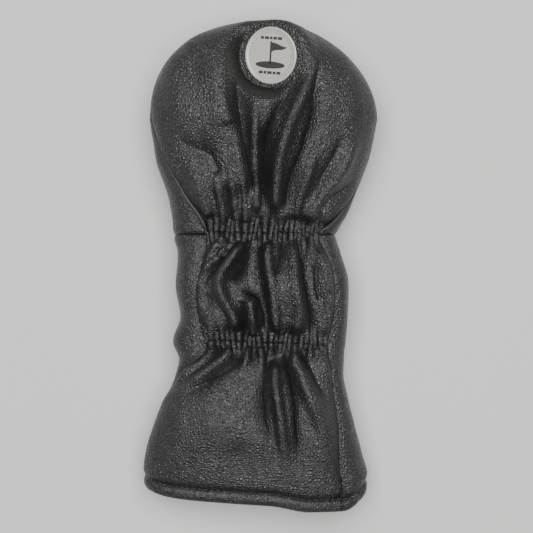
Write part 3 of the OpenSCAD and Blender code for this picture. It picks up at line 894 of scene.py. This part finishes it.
def inner_sheet(name, back, y, q, columns, depth, material):
    """A smooth sheet that keeps depth millimetres clear of the panel over it."""
    if back:
        points = back_face(y, q, columns, depth, 7.2)
    else:
        base = panel_points(False, y, q, columns)
        n = normals_of(base)
        drop = lowest_near(front_relief(base, n, y, q, seam_distance(base), CROSS_SEAM_Y), 2)
        points = base + n * (drop - depth)[..., None]
        points[..., 2] = np.maximum(points[..., 2], depth)
    return add_mesh(name, points, grid_faces(*points.shape[:2])[:, ::-1], material), points


def linings():
    for back, node, name in (
        (True, "back_lining", "back_lining_plush"),
        (False, "front_lining", "front_lining_plush"),
    ):
        y, q = stations(MOUTH_Y + 1.2, True, 2.2)
        piece, _ = inner_sheet(name, back, y, q, 110, 2.3 if back else 3.2, PLUSH)
        thicken(piece, 2.6)
        claim(piece, "plush", node)


def foams():
    y, q = stations(CROSS_SEAM_Y + 1.5, True, 4)
    crown, _ = inner_sheet("crown_foam_pad", False, y, q, 60, 1.35, FOAM)
    thicken(crown, 1.5)
    claim(crown, "foam", "crown_foam")
    y = np.linspace(MOUTH_Y + 7, CROSS_SEAM_Y - 1.5, 46)
    neck, _ = inner_sheet("neck_foam_pad", False, y, np.zeros(46), 60, 1.35, FOAM)
    thicken(neck, 1.5)
    claim(neck, "foam", "neck_foam")


# ---- seams, hem and trim ----
def seam_path(y_from, depth, crown=True):
    """The line of the side seam over the head, from the right of the gather to the left."""
    y, q = stations(y_from, crown, 1.6)
    right, left = seams(y, q)
    def side(angle):
        at = form(angle, y, q)
        n = form_normals(angle, y, q)
        return at - n * depth, n
    (a, na), (b, nb) = side(right), side(left)
    return np.concatenate([a, b[::-1]]), np.concatenate([na, nb[::-1]])


def piping():
    """The strip in the head's side seam and the cord inside it, both tucked in at the gather."""
    path, n = seam_path(22.5 + SHIFT[1], 0.25)
    count = 420
    run = np.r_[0, np.cumsum(np.linalg.norm(np.diff(path, axis=0), axis=1))]
    at = np.linspace(0, run[-1], count)
    path = np.stack([np.interp(at, run, path[:, k]) for k in range(3)], 1)
    n = unit(np.stack([np.interp(at, run, n[:, k]) for k in range(3)], 1))
    taper = ease(np.minimum(at, run[-1] - at) / 5)
    verts, faces = tube(path - n * (1.8 * (1 - taper))[:, None], n, 1.25, 14)
    cover = add_mesh("piping_strip", verts, faces, PIPING_LEATHER)
    claim(cover, "piping_leather", "piping_cover")
    verts, faces = tube(path - n * (1.8 * (1 - taper))[:, None], n, 0.72, 8)
    claim(add_mesh("piping_core", verts, faces, CORD), "cord", "piping_cord")


# (distance up the cover from the edge, depth) round the hem's rolled section
HEM_SECTION = [
    (9.4, 2.9), (8.9, 2.2), (8.4, 1.2), (7.8, 0.2), (7.0, -0.6), (5.8, -1.15), (4.4, -1.35), (2.8, -1.25),
    (1.2, -0.8), (0.2, 0.0), (-0.4, 1.3), (-0.5, 2.9), (-0.2, 4.4), (0.8, 5.6), (2.2, 6.3), (4.2, 6.6),
    (6.4, 6.5), (8.2, 6.0), (9.2, 4.6),
]


def hem_strip(name, back, node):
    """One half of the rolled binding round the mouth, with the grid of the form that it follows."""
    right, left = seams(np.array([MOUTH_Y]), np.zeros(1))
    start, end = (right, left) if back else (left, right + 360)
    columns = 190 if back else 230
    y = MOUTH_Y + np.linspace(0, 12, 13)
    q = np.zeros(len(y))
    sheet = across(y, q, np.full(13, start[0]), np.full(13, end[0]), columns, 0.25)
    n = normals_of(sheet)
    up = unit(sheet[6] - sheet[0])
    rng = np.random.default_rng(5 if back else 6)
    at = np.linspace(0, 1, columns)
    wobble = sum(
        rng.uniform(0.05, 0.16) * np.sin(2 * np.pi * f * at + rng.uniform(0, 6.3))
        for f in (3, 7, 12, 19, 31)
    )
    rings = []
    for rise, depth in HEM_SECTION:
        p = sheet[0] + up * rise - n[0] * depth
        if depth < 2.5:
            p = p + n[0] * (wobble * 0.9)[:, None] + up * (0.5 * wobble)[:, None]
        rings.append(p)
    rings = np.stack(rings, 1)
    rings[..., 2] = np.maximum(rings[..., 2], 0.05)
    faces = grid_faces(columns, len(HEM_SECTION), wrap=True)
    piece = add_mesh(name, rings, faces, HEM_LEATHER)
    piece.modifiers.new("round", "SUBSURF").levels = 1
    piece.modifiers["round"].render_levels = 1
    return claim(piece, "binding_leather", node), sheet, n


def hems():
    lines = []
    for name, back, node in (
        ("hem_roll_back", True, "hem_binding_back"),
        ("hem_roll_front", False, "hem_binding_front"),
    ):
        _, sheet, n = hem_strip(name, back, node)
        groove = 0.5 * (sheet[8] + sheet[9])
        lines.append((groove - n[8] * 0.35, n[8]))
    line = np.concatenate([l for l, _ in lines])
    normals = np.concatenate([m for _, m in lines])
    line[:, 2] = np.maximum(line[:, 2], 0.3)
    claim(stitches("hem_stitches", line, normals, THREAD, 3.0, 1.0, 0.3), "thread", "hem_thread")


def surface_line(row, above=0.0):
    """The line on the back panel that is seen along a gather's row."""
    x, y = plan(Back.points)
    s = y - smooth(row, x)
    line, normals = [], []
    for j in range(3, Back.points.shape[1] - 3):
        i = int(np.argmin(np.abs(s[:, j])))
        line.append(Back.points[i, j] + Back.normals[i, j] * above)
        normals.append(Back.normals[i, j])
    return np.array(line), unit(box_blur(np.array(normals), 3, 0))


def gathers():
    """The stitches of the two gathers and the elastic behind them."""
    for name, row, node in (
        ("upper_gather_stitches", ROW_UPPER, "upper_gather_thread"),
        ("lower_gather_stitches", ROW_LOWER, "lower_gather_thread"),
    ):
        line, normals = surface_line(row, 0.05)
        claim(stitches(name, line, normals, THREAD, 2.2, 1.2, 0.28, 0.3), "thread", node)
    for name, centre, node in (
        ("upper_elastic_band", UPPER_GATHER, "upper_elastic"),
        ("lower_elastic_band", LOWER_GATHER, "lower_elastic"),
    ):
        y = np.linspace(centre - 5, centre + 5, 12) + SHIFT[1]
        q = np.zeros(len(y))
        right, left = seams(y, q)
        base = across(y, q, right, left, 160, 3.0)
        n = normals_of(base)
        ripple = 0.35 * np.sin(np.linspace(0, 46 * np.pi, 160))[None, :]
        mm = seam_distance(base)
        depth = 3.2 + 5.6 * ease(mm / 10) + ripple
        points = base - n * depth[..., None]
        piece = add_mesh(name, points, grid_faces(12, 160)[:, ::-1], ELASTIC)
        thicken(piece, 0.8)
        claim(piece, "elastic", node)


def seam_threads():
    y, q = stations(MOUTH_Y + 9, True, 2.0)
    right, left = seams(y, q)
    for name, angle, node in (
        ("left_seam_stitches", left, "left_seam_thread"),
        ("right_seam_stitches", right, "right_seam_thread"),
    ):
        at = form(angle, y, q)
        n = form_normals(angle, y, q)
        line = at - n * 2.6
        claim(stitches(name, line[:-6], n[:-6], THREAD, 2.8, 0.9, 0.28), "thread", node)


def crown_seam(crown_points):
    line = crown_points[2, 4:-4]
    n = normals_of(crown_points)[2, 4:-4]
    row = stitches("crown_seam_stitches", line + n * 0.1, n, THREAD, 2.7, 1.1, 0.3)
    claim(row, "thread", "crown_seam_thread")


# ---- badge ----
def badge_axes():
    z = BADGE_N
    y = unit(np.array([0.0, 1.0, 0.0]) - z * z[1])
    x = np.cross(y, z)
    tilt = math.radians(-7)
    return x * math.cos(tilt) + y * math.sin(tilt), y * math.cos(tilt) - x * math.sin(tilt), z


BADGE_X, BADGE_Y, BADGE_Z = badge_axes()


def on_badge(local):
    local = np.asarray(local, float)
    return BADGE_AT + local[..., :1] * BADGE_X + local[..., 1:2] * BADGE_Y + local[..., 2:] * BADGE_Z


# (radius, height) from the middle of the back round the rim to the middle of the face
BADGE_PROFILE = [
    (0.01, 0.0), (12, 0.0), (17.6, 0.0), (18.2, 0.12), (18.5, 0.45), (18.5, 0.95), (18.42, 1.3),
    (18.15, 1.52), (17.8, 1.6), (17.3, 1.6), (16.95, 1.52), (16.75, 1.35), (16.6, 1.18), (16.35, 1.1),
    (14, 1.1), (9, 1.12), (4, 1.13), (0.01, 1.13),
]
FACE_H = 1.1


def lathe(profile, turns=128):
    profile = np.array(profile)
    a = np.linspace(0, 2 * np.pi, turns, endpoint=False)
    radius = profile[:, :1]
    ring = np.stack([radius * np.cos(a), radius * np.sin(a), np.repeat(profile[:, 1:], turns, 1)], -1)
    return ring, grid_faces(len(profile), turns, wrap=True)


def slab(outline, low, high):
    """Points and faces of a flat shape's outline, raised from low to high with a rounded top edge."""
    p = np.array(outline, float)
    centre = p.mean(0)
    inset = p + unit(centre - p) * 0.12
    m = len(p)
    rings = ((p, low), (p, high - 0.06), (inset, high))
    verts = np.concatenate([np.c_[at, np.full(m, z)] for at, z in rings])
    faces = []
    for start in (0, m):
        for i in range(m):
            after = (i + 1) % m
            faces.append([start + i, start + after, start + m + after, start + m + i])
    return verts, faces, [2 * m + i for i in range(m)]


def emblem_shapes():
    """A pin flag that stands in a green, with a row of short bars above and below."""
    bend = np.linspace(0, 1, 9)
    flag = [(0.5 + 10.4 * t, 8.4 - 2.4 * t + 0.35 * math.sin(6.3 * t)) for t in bend]
    flag += [(0.5 + 10.4 * t, 2.4 + 2.7 * t + 0.35 * math.sin(6.3 * t)) for t in bend[::-1]]
    turn = np.linspace(0, 2 * np.pi, 40, endpoint=False)
    green = [(10.6 * math.cos(t), -6.2 + 2.3 * math.sin(t)) for t in turn]
    bars = []
    for y0, start, widths in (
        (11.2, -7.7, (2.3, 3.1, 1.8, 2.6, 3.2)),
        (-11.2, -7.8, (2.8, 2.0, 3.4, 2.1, 2.8)),
    ):
        x0 = start
        for w in widths:
            bars.append([(x0, y0 - 0.9), (x0 + w, y0 - 0.9), (x0 + w, y0 + 0.9), (x0, y0 + 0.9)])
            x0 += w + 0.6
    pole = [(-0.7, -5.6), (0.6, -5.6), (0.6, 8.9), (-0.05, 9.3), (-0.7, 8.9)]
    return [flag, green, pole] + bars


def badge():
    ring, faces = lathe(BADGE_PROFILE)
    patch = add_mesh("badge_disc", on_badge(ring + [0, 0, BADGE_LIFT]), faces, BADGE_SKIN)
    claim(patch, "badge_skin", "badge_patch")
    verts, faces, count = [], [], 0
    for shape in emblem_shapes():
        v, f, top = slab(shape, BADGE_LIFT + FACE_H - 0.1, BADGE_LIFT + FACE_H + 0.16)
        verts.append(v)
        faces += [[i + count for i in face] for face in f] + [[i + count for i in top]]
        count += len(v)
    emblem = add_mesh("badge_emblem_print", on_badge(np.concatenate(verts)), faces, INK, flat=True)
    claim(emblem, "badge_ink", "badge_emblem")
    a = np.linspace(0, 2 * np.pi, 553)
    r = 15.1  # radius of the ring of stitches
    line = on_badge(np.stack([r * np.cos(a), r * np.sin(a), np.full(len(a), BADGE_LIFT + FACE_H)], -1))
    normals = np.repeat(BADGE_Z[None], len(a), 0)
    ring = stitches("badge_stitches", line, normals, BADGE_THREAD, 1.35, 0.7, 0.26, 0.2)
    claim(ring, "badge_thread", "badge_thread")


def label():
    low, high = np.array(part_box("care_label")) / MM
    columns, rows = 26, 34
    x, y = np.meshgrid(np.linspace(low[0], high[0], columns), np.linspace(low[1], high[1], rows))
    curl = 0.8 * ease((high[1] - 6 - y) / 26) * (1 + 0.5 * np.sin((x - low[0]) / 5))
    grid = np.stack([x, y, 0.5 * (high[2] + low[2]) + curl], -1)
    piece = add_mesh("care_label_tape", grid, grid_faces(rows, columns)[:, ::-1], LABEL)
    thicken(piece, 0.35)
    claim(piece, "label_cloth", "care_label")
    sewn = np.linspace(low[0] + 0.8, high[0] - 0.8, 60)
    line = np.stack([sewn, np.full(60, high[1] - 2), np.full(60, high[2] + 0.1)], -1)
    row = stitches("label_stitches", line, np.tile([0.0, 0.0, 1.0], (60, 1)), THREAD, 2.4, 1.2, 0.22)
    claim(row, "thread", "care_label_thread")


def dress_cad_nodes():
    """The magnet and what holds it keep their CAD shapes."""
    for node, material in (("magnet", MAGNET), ("magnet_plate", PLATE), ("magnet_pocket", POCKET)):
        for slot in frame["nodes"][node].material_slots:
            slot.material = material


# ---- stage ----
def stage():
    floor = add_mesh("floor", [(-3000, -3000, 0), (3000, -3000, 0), (3000, 3000, 0), (-3000, 3000, 0)],
                     [[0, 1, 2, 3]], studio_floor("floor_paint", (0.6, 0.6, 0.59)), flat=True)
    world = bpy.data.worlds.new("studio")
    world.use_nodes = True
    world.node_tree.nodes["Background"].inputs["Color"].default_value = (0.93, 0.96, 1.0, 1.0)
    world.node_tree.nodes["Background"].inputs["Strength"].default_value = 0.03
    bpy.context.scene.world = world
    for name, place, size, power in (
        ("overhead", (0.0, 0.2, 1.9), 1.5, 74.0),
        ("left_fill", (-1.5, 0.5, 1.1), 0.6, 0.8),
        ("right_fill", (1.5, -0.3, 1.0), 0.6, 0.5),
    ):
        light = bpy.data.lights.new(name, "AREA")
        light.size = size
        light.energy = power
        lamp = bpy.data.objects.new(name, light)
        lamp.location = place
        lamp.rotation_euler = (Vector((0, 0, 0.03)) - Vector(place)).to_track_quat("-Z", "Y").to_euler()
        bpy.context.scene.collection.objects.link(lamp)


def camera():
    data = bpy.data.cameras.new("camera")
    data.sensor_width = 36.0
    data.lens = data.sensor_width * (LENS_AT[2] - LENS_PLANE) / VIEW_WIDTH
    eye = bpy.data.objects.new("camera", data)
    eye.location = LENS_AT * MM
    bpy.context.scene.collection.objects.link(eye)
    bpy.context.scene.camera = eye


camera()
stage()
back_panel()
crown_points = front_panels()
linings()
foams()
piping()
hems()
gathers()
seam_threads()
crown_seam(crown_points)
badge()
label()
dress_cad_nodes()
